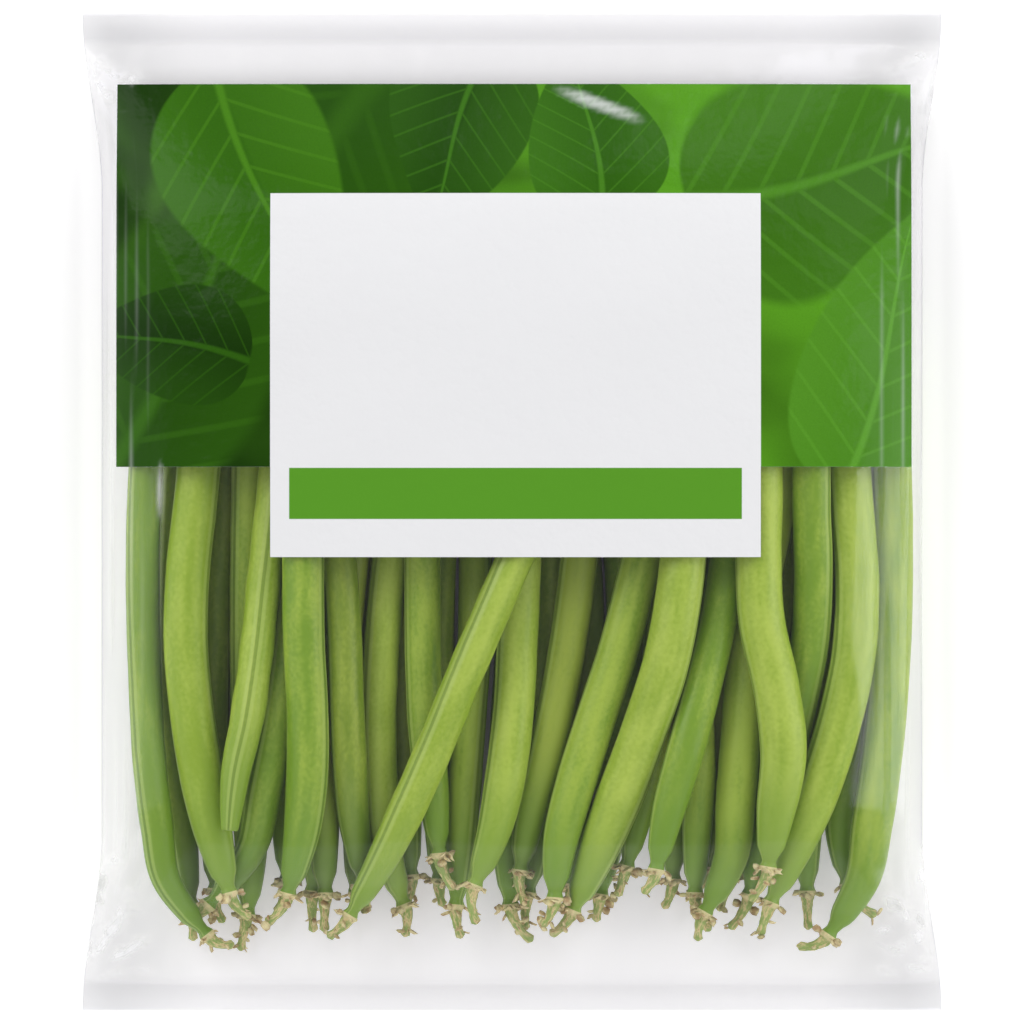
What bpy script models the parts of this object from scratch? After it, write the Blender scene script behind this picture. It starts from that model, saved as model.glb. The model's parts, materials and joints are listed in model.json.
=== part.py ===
"""A bundle of green beans in a clear film bag, lying on its back.

The bag is one piece of film: a tube with a heat seal across each end and vent holes in its back.
The beans lie side by side in it, stalk ends towards -Y, in two to three layers. Metres, +Z up,
with the origin on the table under the middle of the bag.
"""

import math
import random

import bpy
import numpy as np

MM = 0.001  # the sizes below are in millimetres

# The bag, as it lies filled
BAG_LENGTH = 200.0
SEAL_SPAN = 172.4  # across a flat end seal
WAIST_SPAN = 164.6  # across the filled middle, narrower because it bulges
SEAL_DEPTH = 5.6  # of each heat seal, along the bag
FLARE = 36.0  # length over which the waist widens to a seal
FILM = 0.5  # wall of the film, far thicker than real film so that it is a solid
FOLD_WALL = 1.1  # the same at the side folds
SEAL_HALF = 0.6  # half the thickness of a seal
SIDE_HEIGHT = 9.0  # of the side folds above the table, at the waist
SEAL_HEIGHT = 3.4  # of the seals above the table
CROWN = 20.2  # of the front above the side folds
CROWN_POWER = 2.8  # the front's section across the bag is (1 - u^CROWN_POWER)^CROWN_ROUND
CROWN_ROUND = 0.55
RISE_POWER = 0.8  # below 1, the front leaves the seals more steeply
FLAT_SHARE = 0.78  # share of the half width over which the back lies flat
DISH_POWER = 2.2  # how suddenly the back turns up past it
STALK_END_RUN = 30.0  # length over which the front rises from the seal at the stalk ends
TIP_END_RUN = 58.0  # the same at the emptier end
BACK_RUN = 15.0  # length over which the back comes down to the table
FILM_COLUMNS = 20
FILM_ROWS = 22
VENT_RADIUS = 3.0
VENT_SIDES = 12
VENT_X = 42.0
VENT_Y = 58.0

# The beans
STATIONS = (0.0, 0.07, 0.2, 0.42, 0.7, 1.0)  # shares of a pod's length along the bag
NECK_RADIUS = 1.9
NECK_RUN = 22.0  # length over which a pod widens from its stalk end
NECK_POWER = 0.9
NECK_RINGS = (0.0, 4.0, 11.0)
BEAK_RADIUS = 0.45
BEAK_RUN = 17.0  # length over which it narrows to its tip
BEAK_POWER = 0.8
BEAK_RING = 6.0
CALYX_RADIUS = 2.5
CALYX_DEPTH = 1.1
STALK_RADII = (1.6, 1.2, 0.9)  # from the calyx outwards, before the knob at its end
STALK_LENGTHS = (4.5, 8.1)
STALK_TURN = 45.0  # most degrees by which a stalk bends to one side
KNOB_RADIUS = 1.25
BODY_RINGS = 6
RING_RESOLUTION = 2  # of the curve's bevel, which gives eight sides
SEED = 11

# Each pod: finish, width, where its stalk end and its tip lie along the bag, and how far across
# the bag it is at each of STATIONS. The rows run from the bottom of the pile upwards.
PODS = [
    ("deep", 6.8, -78.6, 43, (-61.8, -62.8, -64.7, -67.2, -66.8, -64.4)),
    ("deep", 7.1, -75.6, 46, (-59.6, -58.4, -56.2, -57.1, -54.4, -52.0)),
    ("mid", 7.6, -80.6, 41, (-53.8, -52.2, -50.0, -50.0, -50.8, -50.0)),
    ("deep", 7.1, -73.6, 48, (-48.2, -47.8, -46.4, -44.4, -43.2, -42.4)),
    ("mid", 7.8, -76.0, 46, (-40.8, -40.0, -38.8, -38.0, -37.6, -38.0)),
    ("deep", 7.0, -76.2, 42, (-32.4, -32.6, -32.4, -30.0, -28.0, -27.2)),
    ("deep", 7.0, -72.8, 48, (-20.0, -20.8, -22.0, -22.4, -22.8, -24.0)),
    ("deep", 7.1, -73.6, 47, (-14.4, -14.0, -13.0, -12.0, -12.0, -12.8)),
    ("mid", 7.4, -78.6, 44, (0.6, -0.2, -1.2, -2.8, -4.4, -5.2)),
    ("deep", 7.1, -76.2, 46, (3.0, 4.8, 7.0, 8.2, 8.6, 8.0)),
    ("deep", 6.8, -74.6, 44, (11.6, 12.0, 13.2, 16.0, 17.6, 18.0)),
    ("mid", 7.8, -76.6, 45, (17.4, 18.8, 21.2, 24.2, 26.0, 26.0)),
    ("deep", 7.1, -73.6, 48, (32.4, 32.8, 34.4, 36.6, 37.6, 38.0)),
    ("deep", 6.8, -71.2, 50, (40.2, 40.6, 41.4, 43.8, 45.6, 46.4)),
    ("mid", 7.6, -72.0, 46, (44.2, 46.4, 49.4, 52.8, 56.0, 57.0)),
    ("mid", 7.4, -76.0, 46, (60.2, 60.2, 61.2, 63.2, 65.0, 65.6)),
    ("deep", 7.1, -76.2, 44, (-36.0, -35.8, -35.2, -33.6, -32.0, -31.2)),
    ("deep", 7.1, -70.8, 51, (22.8, 25.0, 28.6, 32.0, 33.6, 34.0)),
    ("mid", 7.4, -74.4, 48, (66.0, 64.0, 64.6, 67.8, 70.2, 71.0)),
    ("mid", 7.4, -68.2, 52, (-14.6, -15.4, -17.2, -18.0, -17.6, -16.4)),
    ("deep", 7.1, -74.0, 48, (-28.4, -30.4, -33.4, -34.4, -38.0, -40.4)),
    ("mid", 7.8, -78.6, 43, (-60.8, -53.8, -49.2, -44.8, -42.4, -41.2)),
    ("mid", 7.0, -78.6, 43, (-11.2, -10.5, -9.8, -7.4, -6.8, -7.2)),
    ("deep", 7.7, -71.6, 50, (1.6, 3.0, 7.0, 12.0, 15.2, 16.8)),
    ("mid", 6.6, -76.2, 45, (36.6, 37.0, 37.8, 40.0, 42.4, 43.6)),
    ("mid", 7.0, -84.6, 38, (-62.8, -69.2, -72.2, -73.9, -73.8, -70.8)),
    ("mid", 8.4, -84.6, 38, (63.6, 69.2, 72.4, 75.4, 74.8, 72.0)),
    ("bright", 9.0, -76.0, 46, (-56.4, -58.8, -62.2, -65.3, -62.6, -59.6)),
    ("mid", 8.6, -76.2, 46, (-44.8, -42.7, -40.8, -41.2, -41.8, -41.2)),
    ("bright", 7.4, -63.6, 57, (-56.4, -55.6, -52.4, -49.6, -44.4, -42.4)),
    ("bright", 7.4, -78.6, 43, (-22.0, -25.2, -28.0, -26.2, -22.8, -21.6)),
    ("bright", 8.4, -74.4, 47, (-7.4, -4.2, -0.8, 1.2, 2.0, 1.6)),
    ("mid", 8.2, -77.0, 44, (8.6, 9.4, 13.6, 21.6, 31.2, 37.6)),
    ("mid", 7.6, -71.2, 50, (28.8, 30.4, 34.4, 41.8, 49.6, 54.8)),
    ("mid", 8.2, -80.0, 42, (38.8, 43.2, 45.2, 46.6, 50.4, 52.8)),
    ("bright", 9.2, -78.0, 44, (51.8, 55.2, 61.2, 67.6, 65.6, 62.0)),
    ("mid", 8.0, -76.6, 46, (47.6, 49.8, 54.4, 60.4, 63.8, 64.0)),
    ("bright", 9.4, -70.8, 50, (51.2, 52.6, 54.4, 55.5, 49.0, 41.6)),
    ("bright", 9.4, -79.6, 42, (12.2, 15.8, 22.0, 30.8, 40.0, 47.6)),
    ("bright", 7.8, -80.6, 40, (-32.4, -27.4, -19.6, -8.4, 5.8, 17.6)),
]
STALK_TURNS = {25: 58.0, 26: -62.0}  # degrees, for the two outermost pods, which hook inwards
SNAPPED = {29}  # pods that have lost their stalk

# How the pods settle into the bag
CLEAR = 0.3  # gap wanted between neighbours, and between a pod and the film
FILM_CLEAR = 0.3
SAMPLE_STEP = 2.0
NEAR_ALONG = 4.5  # samples further apart than this along the bag, or NEAR_ACROSS across it, never meet
NEAR_ACROSS = 22.0
RIM_POINTS = 12  # of each sample's rim, tested against the film
FIRST_HEIGHT = 8.0
LAST_HEIGHT = 31.0  # the pods start in order from FIRST_HEIGHT up to here, and sink
LOOSE_HOLD = 0.07  # how firmly the lowest pod keeps to its place across the bag
FIRM_HOLD = 6.0  # and the topmost one
BENDING = 1e-4  # how much a pod resists a bend that the table doesn't give it
CROWDING = 6.0  # how much harder a deep overlap pushes than a slight one
MOST_FILM_PUSH = 6.0
PHASES = (  # rounds, size of a step, weight, stiffness of the film, share of the hold, of bending
    (500, 0.25, 0.12, 0.5, 1.0, 1.0),
    (500, 0.12, 0.02, 1.5, 0.6, 0.6),
    (500, 0.05, 0.0, 2.0, 0.1, 0.2),
    (500, 0.03, 0.0, 3.0, 0.01, 0.05),
)
SMALLEST_STEP = 0.1  # share of its step that a phase ends on
MOMENTUM = 0.9
STEP_MEMORY = 0.99  # of how hard a value has been pushed, by which its steps are scaled
ROUND_EVERY = 10  # rounds between roundings, so that every machine comes to the same pile
DECIMALS = 6

FINISHES = {
    "bright": ((0.36, 0.50, 0.08), 0.42),
    "mid": ((0.22, 0.40, 0.06), 0.45),
    "deep": ((0.13, 0.25, 0.04), 0.5),
    "film": ((0.92, 0.93, 0.95), 0.12),
}


def smooth(share):
    share = np.clip(share, 0.0, 1.0)
    return share * share * (3 - 2 * share)


def rise(distance, run):
    """0 at a seal, 1 from run onwards, leaving the seal steeply as taut film does."""
    return np.sin(np.clip(distance / run, 0.0, 1.0) * math.pi / 2)


def from_seal(y):
    """How far y is from the inner line of the nearer seal."""
    return BAG_LENGTH / 2 - SEAL_DEPTH - np.abs(y)


def half_width(y):
    share = smooth((BAG_LENGTH / 2 - np.abs(y)) / FLARE)
    return (SEAL_SPAN + (WAIST_SPAN - SEAL_SPAN) * share) / 2


def fold_height(y):
    return SEAL_HEIGHT + (SIDE_HEIGHT - SEAL_HEIGHT) * smooth(from_seal(y) / FLARE)


def front_rise(y):
    run = np.where(np.asarray(y) < 0, STALK_END_RUN, TIP_END_RUN)
    return SEAL_HALF + CROWN * rise(from_seal(y), run) ** RISE_POWER


def back_drop(y):
    return SEAL_HALF + (fold_height(y) - SEAL_HALF) * rise(from_seal(y), BACK_RUN)


def crown(u):
    """Shape of the front across the bag: u is 0 in the middle and 1 at a fold."""
    return np.clip(1 - np.abs(u) ** CROWN_POWER, 0, 1) ** CROWN_ROUND


def dish(u):
    """Shape of the back across the bag, flat over FLAT_SHARE of it."""
    past = np.clip((np.abs(u) - FLAT_SHARE) / (1 - FLAT_SHARE), 0, 1)
    return np.sqrt(np.clip(1 - past**DISH_POWER, 0, 1))


def front_height(u, y, wall=0.0):
    return fold_height(y) + (front_rise(y) - wall) * crown(u)


def back_height(u, y, wall=0.0):
    return fold_height(y) - (back_drop(y) - wall) * dish(u)


def film_ring(y, wall):
    """Points round the bag at y, over the front from -X to +X and back underneath."""
    half = FILM_COLUMNS // 2
    turns = [math.sin(math.pi / 2 * k / half) for k in range(-half, half + 1)]
    reach = half_width(y) - (FOLD_WALL if wall else 0)
    over = [(u * reach, y, float(front_height(u, y, wall))) for u in turns]
    under = [(u * reach, y, float(back_height(u, y, wall))) for u in turns[-2:0:-1]]
    return over + under


def skin(stations, wall, inwards, points, faces):
    """Adds one closed skin of the bag, lofted through the stations along Y."""
    start = len(points)
    for y in stations:
        points += film_ring(y, wall)
    size = (len(points) - start) // len(stations)
    made = []
    for row in range(len(stations) - 1):
        low = start + row * size
        for k in range(size):
            after = (k + 1) % size
            made.append((low + k, low + after, low + size + after, low + size + k))
    for low, first in ((start, True), (start + (len(stations) - 1) * size, False)):
        for k in range(FILM_COLUMNS):
            corners = (low + k, low + k + 1, low + (size - k - 1) % size, low + (size - k) % size)
            corners = tuple(dict.fromkeys(corners))
            made.append(corners[::-1] if first else corners)
    faces += [tuple(reversed(face)) for face in made] if inwards else made


def vent_cutters():
    """Upright pegs that punch the vent holes through the back of the film."""
    made = bpy.data.collections.new("vent_cutters")
    bpy.context.scene.collection.children.link(made)
    for x in (-VENT_X, VENT_X):
        for y in (-VENT_Y, VENT_Y):
            bpy.ops.mesh.primitive_cylinder_add(
                vertices=VENT_SIDES,
                radius=VENT_RADIUS * MM,
                depth=4 * FILM * MM,
                location=(x * MM, y * MM, 0),
            )
            peg = bpy.context.object
            peg.hide_render = True
            peg.display_type = "WIRE"
            for user in list(peg.users_collection):
                user.objects.unlink(peg)
            made.objects.link(peg)
    return made


def finish(name):
    """The material of that name, made once."""
    if name in bpy.data.materials:
        return bpy.data.materials[name]
    colour, roughness = FINISHES[name]
    made = bpy.data.materials.new(name)
    made.use_nodes = True
    shader = made.node_tree.nodes["Principled BSDF"]
    shader.inputs["Base Color"].default_value = (*colour, 1)
    shader.inputs["Roughness"].default_value = roughness
    shader.inputs["Metallic"].default_value = 0
    return made


def film_bag():
    """The bag: an outer skin from end to end, an inner one between the seals, and the vents."""
    points, faces = [], []
    end = BAG_LENGTH / 2
    inner = end - SEAL_DEPTH
    inside = [-inner * math.cos(math.pi * k / FILM_ROWS) for k in range(FILM_ROWS + 1)]
    skin([-end, *inside, end], 0.0, False, points, faces)
    skin(inside, FILM, True, points, faces)
    mesh = bpy.data.meshes.new("film_bag")
    mesh.from_pydata([tuple(c * MM for c in p) for p in points], [], faces)
    mesh.shade_smooth()
    bag = bpy.data.objects.new("film_bag", mesh)
    bpy.context.scene.collection.objects.link(bag)
    mesh.materials.append(finish("film"))
    vents = bag.modifiers.new("vents", "BOOLEAN")
    vents.operation = "DIFFERENCE"
    vents.operand_type = "COLLECTION"
    vents.collection = vent_cutters()
    vents.solver = "EXACT"
    return bag


def weights_at(shares):
    """Rows that turn the values at STATIONS into the values at other shares, on a smooth line."""
    knots = np.array(STATIONS)
    unit = np.eye(len(knots))
    slopes = np.stack([np.gradient(row, knots) for row in unit], 1)
    k = np.clip(np.searchsorted(knots, shares) - 1, 0, len(knots) - 2)
    span = (knots[k + 1] - knots[k])[:, None]
    t = (shares - knots[k])[:, None] / span
    return (
        unit[k] * (1 + 2 * t) * (1 - t) ** 2
        + slopes[k] * span * t * (1 - t) ** 2
        + unit[k + 1] * t * t * (3 - 2 * t)
        + slopes[k + 1] * span * t * t * (t - 1)
    )


def swell(share):
    """0 at an end of a pod, 1 where it has its full thickness."""
    return np.sin(np.clip(share, 0, 1) * math.pi / 2)


def stalk(heading, turn, length):
    """Offsets and radii from the calyx to the stalk's free end, as it bends away from the pod."""
    ahead = np.array([math.cos(heading), math.sin(heading)])
    here = ahead * CALYX_DEPTH
    made = [(*(here / 2), CALYX_RADIUS), (*here, STALK_RADII[0])]
    rest = (*STALK_RADII[1:], KNOB_RADIUS)
    for radius in rest:
        heading += math.radians(turn) / len(rest)
        here = here + length / len(rest) * np.array([math.cos(heading), math.sin(heading)])
        made.append((*here, radius))
    return made


def bean_plan(index, dice):
    """The rings of a bean from the free end of its stalk to its tip, before it has settled.

    A row holds y, an offset across the bag, the radius and the weights of the pod's stations."""
    _, width, stem, tip, xs = PODS[index]
    length = tip - stem
    body = np.linspace(NECK_RUN, length - BEAK_RUN, BODY_RINGS + 1)
    marks = np.array([*NECK_RINGS, *body, length - BEAK_RING, length])
    neck = NECK_RADIUS + (width / 2 - NECK_RADIUS) * swell(marks / NECK_RUN) ** NECK_POWER
    beak = BEAK_RADIUS + (width / 2 - BEAK_RADIUS) * swell((length - marks) / BEAK_RUN) ** BEAK_POWER
    weights = weights_at(marks / length)
    pod = np.column_stack([stem + marks, 0 * marks, np.minimum(neck, beak), weights])
    turn = STALK_TURNS.get(index, dice.uniform(-STALK_TURN, STALK_TURN))
    reach = dice.uniform(*STALK_LENGTHS)
    if index in SNAPPED:
        return pod
    ends = (weights[:2] * xs).sum(1)
    heading = math.atan2(-marks[1], ends[0] - ends[1])
    ends = [(stem + dy, dx, radius, *weights[0]) for dx, dy, radius in stalk(heading, turn, reach)]
    return np.array(ends[::-1] + pod.tolist())


def filled_in(rings):
    """The same rows every SAMPLE_STEP or less."""
    steps = np.hypot(np.diff(rings[:, 0]), np.diff(rings[:, 1]))
    along = np.append(0.0, np.cumsum(steps))
    marks = np.union1d(np.arange(0, along[-1], SAMPLE_STEP), along)
    return np.column_stack([np.interp(marks, along, column) for column in rings.T])


def film_push(x, z, y, radius):
    """How each sample is pushed inwards where its rim passes the inside of the film: x and z."""
    turn = np.arange(RIM_POINTS) * 2 * math.pi / RIM_POINTS
    reach = (half_width(y) - FOLD_WALL - FILM_CLEAR)[:, None]
    u = (x[:, None] + (radius + CLEAR)[:, None] * np.cos(turn)) / reach
    v = z[:, None] + (radius + CLEAR)[:, None] * np.sin(turn) - fold_height(y)[:, None]
    side, u = np.sign(u), np.abs(u)
    top = np.maximum(front_rise(y) - FILM - FILM_CLEAR, CLEAR)[:, None]
    bottom = np.maximum(back_drop(y) - FILM, CLEAR)[:, None]
    up, down = np.maximum(v, 1e-6) / top, np.maximum(-v, 1e-6) / bottom
    past = np.maximum(u - FLAT_SHARE, 0) / (1 - FLAT_SHARE)
    over = v > 0
    excess = np.where(over, up ** (1 / CROWN_ROUND) + u**CROWN_POWER, down**2 + past**DISH_POWER) - 1
    slope_x = side / reach * np.where(
        over,
        CROWN_POWER * u ** (CROWN_POWER - 1),
        DISH_POWER * past ** (DISH_POWER - 1) / (1 - FLAT_SHARE),
    )
    slope_z = np.where(over, up ** (1 / CROWN_ROUND - 1) / CROWN_ROUND / top, -2 * down / bottom)
    slope = np.sqrt(slope_x**2 + slope_z**2) + 1e-9
    depth = np.clip(excess / slope, 0, MOST_FILM_PUSH)
    return -np.stack([(depth * slope_x / slope).sum(1), (depth * slope_z / slope).sum(1)])


def neighbour_push(x, z, y, radius, first, second):
    """How each sample is pushed away from the samples of other beans that it overlaps: x and z."""
    dx, dy, dz = x[first] - x[second], y[first] - y[second], z[first] - z[second]
    apart = np.sqrt(dx**2 + dy**2 + dz**2) + 1e-9
    depth = np.maximum(radius[first] + radius[second] + CLEAR - apart, 0)
    push = depth * (1 + CROWDING * depth) / apart
    shares = (push * dx, push * dz)
    size = len(x)
    return np.stack([np.bincount(first, a, size) - np.bincount(second, a, size) for a in shares])


def onto_stations(push, weights, owner, count):
    """The pushes on the samples, gathered onto the stations of their pods."""
    gathered = [np.bincount(owner, column * push, count) for column in weights.T]
    return np.column_stack(gathered)


def stiffness():
    """What a pod's station values are multiplied by to give its resistance to bending."""
    bend = [np.gradient(np.gradient(row, STATIONS), STATIONS) for row in np.eye(len(STATIONS))]
    bend = np.stack(bend)
    return BENDING * (bend[:, None] * bend).sum(2)


def settle(plans):
    """Lets the beans sink into the bag and push each other clear.

    Returns the places across the bag and the heights of every pod's stations."""
    samples = [filled_in(plan) for plan in plans]
    count = len(plans)
    owner = np.repeat(np.arange(count), [len(rows) for rows in samples])
    y, offset, radius, *weights = np.concatenate(samples).T
    weights = np.array(weights).T
    wanted = np.array([xs for *_, xs in PODS])
    x = (weights * wanted[owner]).sum(1) + offset
    first, second = np.nonzero(
        (owner[:, None] < owner)
        & (np.abs(y[:, None] - y) < NEAR_ALONG)
        & (np.abs(x[:, None] - x) < NEAR_ACROSS)
    )
    rank = np.arange(count)[:, None] / (count - 1)
    hold = LOOSE_HOLD * (FIRM_HOLD / LOOSE_HOLD) ** rank
    start = FIRST_HEIGHT + (LAST_HEIGHT - FIRST_HEIGHT) * rank
    places = np.stack([wanted, np.broadcast_to(start, wanted.shape)])
    stiff = stiffness()
    for rounds, step, weight, film, holding, bending in PHASES:
        drift, force = np.zeros_like(places), np.zeros_like(places)
        for k in range(1, rounds + 1):
            x = (weights * places[0][owner]).sum(1) + offset
            z = (weights * places[1][owner]).sum(1)
            away = neighbour_push(x, z, y, radius, first, second)
            inwards = film_push(x, z, y, radius)
            push = 2 * (away + film * inwards)
            push[1] -= weight
            wish = np.stack([onto_stations(one, weights, owner, count) for one in push])
            shift = places - np.stack([wanted, 0 * wanted])
            wish -= bending * (shift[:, :, :, None] * stiff).sum(2)
            wish[0] -= holding * hold * shift[0]
            drift = MOMENTUM * drift + (1 - MOMENTUM) * wish
            force = STEP_MEMORY * force + (1 - STEP_MEMORY) * wish**2
            size = step * (1 - (1 - SMALLEST_STEP) * k / rounds)
            scale = np.sqrt(force / (1 - STEP_MEMORY**k)) + 1e-3
            places = places + size * drift / (1 - MOMENTUM**k) / scale
            if k % ROUND_EVERY == 0:
                places, drift, force = (np.round(a, DECIMALS) for a in (places, drift, force))
    return places


def bean_rings(plan, xs, zs):
    """A settled bean's rings as rows of x, y, z and radius."""
    y, offset, radius, *weights = plan.T
    weights = np.array(weights).T
    return np.column_stack([(weights * xs).sum(1) + offset, y, (weights * zs).sum(1), radius])


def bean(name, rings, tone):
    """One bean as a tube whose thickness changes along it."""
    curve = bpy.data.curves.new(name, "CURVE")
    curve.dimensions = "3D"
    curve.bevel_depth = MM
    curve.bevel_resolution = RING_RESOLUTION
    curve.use_fill_caps = True
    spline = curve.splines.new("POLY")
    spline.points.add(len(rings) - 1)
    for point, (x, y, z, radius) in zip(spline.points, rings):
        point.co = (x * MM, y * MM, z * MM, 1)
        point.radius = radius
    spline.use_smooth = True
    made = bpy.data.objects.new(name, curve)
    curve.materials.append(finish(tone))
    bpy.context.scene.collection.objects.link(made)
    return made


def main():
    for old in list(bpy.data.objects):
        bpy.data.objects.remove(old)
    film_bag()
    dice = random.Random(SEED)
    plans = [bean_plan(index, dice) for index in range(len(PODS))]
    across, heights = settle(plans)
    for index, (row, plan) in enumerate(zip(PODS, plans)):
        bean(f"green_bean_{index + 1:02d}", bean_rings(plan, across[index], heights[index]), row[0])


if __name__ == "__main__":
    main()
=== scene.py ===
# %% [markdown]
# A bundle of green beans lies in a flat pillow bag of clear film, as it comes from the
# vegetable shelf. Forty pods lie side by side in two to three layers, and the front of the bag
# carries a printed band and a bare label panel. This lesson dresses the plain solids of the
# part: each bean gets a skin that follows its solid, and the bag becomes thin film.
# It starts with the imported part, which gives every size and place in metres.

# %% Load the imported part
import json
import math
import random

import bpy
import numpy as np
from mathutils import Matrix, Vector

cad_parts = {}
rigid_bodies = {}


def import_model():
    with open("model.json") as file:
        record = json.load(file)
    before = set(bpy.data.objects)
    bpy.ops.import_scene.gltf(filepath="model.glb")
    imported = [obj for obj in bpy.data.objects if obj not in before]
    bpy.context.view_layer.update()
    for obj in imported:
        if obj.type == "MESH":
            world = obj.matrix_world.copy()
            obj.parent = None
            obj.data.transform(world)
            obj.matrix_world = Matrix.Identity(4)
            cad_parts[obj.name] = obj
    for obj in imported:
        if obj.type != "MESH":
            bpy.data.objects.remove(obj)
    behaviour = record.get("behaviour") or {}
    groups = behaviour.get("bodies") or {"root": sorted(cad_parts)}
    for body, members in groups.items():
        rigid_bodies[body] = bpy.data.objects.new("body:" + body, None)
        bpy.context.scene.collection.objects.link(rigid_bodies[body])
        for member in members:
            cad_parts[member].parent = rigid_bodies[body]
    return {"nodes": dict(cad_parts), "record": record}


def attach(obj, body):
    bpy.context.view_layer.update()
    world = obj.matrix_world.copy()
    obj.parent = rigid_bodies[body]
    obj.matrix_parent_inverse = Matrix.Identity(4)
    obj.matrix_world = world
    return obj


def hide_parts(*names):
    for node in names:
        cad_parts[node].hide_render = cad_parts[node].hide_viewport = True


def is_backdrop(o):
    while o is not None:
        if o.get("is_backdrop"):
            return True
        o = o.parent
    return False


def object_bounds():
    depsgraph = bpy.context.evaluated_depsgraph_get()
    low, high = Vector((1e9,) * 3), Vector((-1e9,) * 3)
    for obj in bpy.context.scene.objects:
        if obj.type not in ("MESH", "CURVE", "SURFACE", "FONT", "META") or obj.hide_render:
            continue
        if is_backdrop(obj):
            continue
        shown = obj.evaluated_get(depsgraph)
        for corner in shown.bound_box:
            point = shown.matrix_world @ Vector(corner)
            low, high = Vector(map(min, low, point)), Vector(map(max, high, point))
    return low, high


def new_mesh(name, points, faces, edges=()):
    """A mesh of points that are given in mm."""
    mesh = bpy.data.meshes.new(name)
    mesh.from_pydata((np.array(points) * MM).tolist(), edges, faces)
    return mesh


def placed(name, data):
    """A new object of the scene, at the origin."""
    made = bpy.data.objects.new(name, data)
    bpy.context.scene.collection.objects.link(made)
    return made


MM = 0.001  # sizes below are in millimetres
for leftover in list(bpy.data.objects):
    bpy.data.objects.remove(leftover)
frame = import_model()
cad_low, cad_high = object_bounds()
BEANS = sorted(name for name in frame["nodes"] if name.startswith("green_bean"))
print(len(BEANS), "beans, box in mm", [round(c / MM, 1) for c in (*cad_low, *cad_high)])

# %% [markdown]
# The picture was taken from straight above with a long lens, so nothing converges. A 500 mm
# lens nearly three metres up does the same, and still behaves as a camera in other views.
# One pixel of the 1024 is 0.2 mm at the height of the upper beans.

# %% Camera
PIXELS = 1024
PIXEL = 0.2
LENS = 500.0
SENSOR = 36.0
PICTURE_HEIGHT = 16.0  # height of the plane that is drawn to scale

lens = bpy.data.cameras.new("camera")
lens.lens = LENS
lens.sensor_width = SENSOR
lens.clip_end = 20
camera = placed("camera", lens)
camera.location = (0, 0, (PICTURE_HEIGHT + PIXELS * PIXEL * LENS / SENSOR) * MM)
bpy.context.scene.camera = camera
bpy.context.scene.view_settings.view_transform = "Standard"
print("camera", round(camera.location.z, 3), "m up")

# %% [markdown]
# Materials and geometry are both built from nodes. Long chains of Math nodes are hard to read,
# so a Wire stands for one output socket, and each arithmetic sign on it adds its node.
# Every other kind of node comes from one method, which plugs in values by place or by name.

# %% Node arithmetic
def add_node(tree, kind, *inputs, named=None, out=0, **settings):
    """Adds a node to the tree, plugs in its inputs and returns one of its outputs."""
    made = tree.nodes.new(kind)
    for setting, value in settings.items():
        setattr(made, setting, value)
    plugs = [plug for plug in made.inputs if plug.enabled]
    pairs = list(zip(plugs, inputs))
    for name, value in (named or {}).items():
        pairs.append((next(plug for plug in plugs if plug.name == name), value))
    for plug, value in pairs:
        if isinstance(value, Wire):
            tree.links.new(value.socket, plug)
        else:
            plug.default_value = value
    return Wire(tree, [socket for socket in made.outputs if socket.enabled][out])


class Wire:
    """One output socket, on which arithmetic signs add Math nodes."""

    def __init__(self, tree, socket):
        self.tree = tree
        self.socket = socket

    def node(self, kind, *inputs, **options):
        return add_node(self.tree, kind, *inputs, **options)

    def math(self, operation, *others):
        return self.node("ShaderNodeMath", self, *others, operation=operation)

    def vector(self, operation, *others):
        return self.node("ShaderNodeVectorMath", self, *others, operation=operation)

    def __add__(self, other):
        return self.math("ADD", other)

    __radd__ = __add__

    def __mul__(self, other):
        return self.math("MULTIPLY", other)

    __rmul__ = __mul__

    def __sub__(self, other):
        return self.math("SUBTRACT", other)

    def __rsub__(self, other):
        return self * -1 + other

    def __truediv__(self, other):
        return self.math("DIVIDE", other)

    def __pow__(self, other):
        return self.math("POWER", other)

    def __abs__(self):
        return self.math("ABSOLUTE")

    def ramp(self, low, high, start=0.0, end=1.0):
        """start up to low and end from high onwards, with a smooth change between."""
        limits = (low, high, start, end)
        return self.node("ShaderNodeMapRange", self, *limits, interpolation_type="SMOOTHSTEP")

    def parts(self):
        split = self.node("ShaderNodeSeparateXYZ", self)
        return [Wire(self.tree, socket) for socket in split.socket.node.outputs]

    def mix(self, under, over):
        """under where this value is 0, over where it is 1. Both are colours."""
        return self.node("ShaderNodeMix", self, under, over, data_type="RGBA")

    def noise(self, scale, detail=2.0, rough=0.5, warp=0.0):
        """A cloudy pattern of 0 to 1 over these coordinates."""
        sizes = {"Scale": scale, "Detail": detail, "Roughness": rough, "Distortion": warp}
        return self.node("ShaderNodeTexNoise", self, named=sizes)


def joined(x, y, z):
    """Three values as one vector."""
    source = next(part for part in (x, y, z) if isinstance(part, Wire))
    return source.node("ShaderNodeCombineXYZ", x, y, z)


def place_in(tree):
    """Object coordinates, which are metres from the middle of the bag's underside."""
    return add_node(tree, "ShaderNodeTexCoord", out=3)


def ink(red, green, blue):
    """A colour as a paint card gives it, 0 to 255, in the linear values that shaders use."""
    shares = [level / 255 for level in (red, green, blue)]
    linear = [((s + 0.055) / 1.055) ** 2.4 if s > 0.04 else s / 12.92 for s in shares]
    return (*linear, 1.0)


print("a mid green of 128, 160, 70 is", [round(c, 3) for c in ink(128, 160, 70)])

# %% [markdown]
# The bag lies on plain white, as in a packshot. A plain floor in the shade of clear film turns
# grey, which the real picture doesn't show, so this one also glows faintly, as a light table
# does. The glow stops under the pile, where it would brighten the beans from below, and is
# weaker round the bag and at its corners. Its own colour is a pale paper white.

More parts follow.
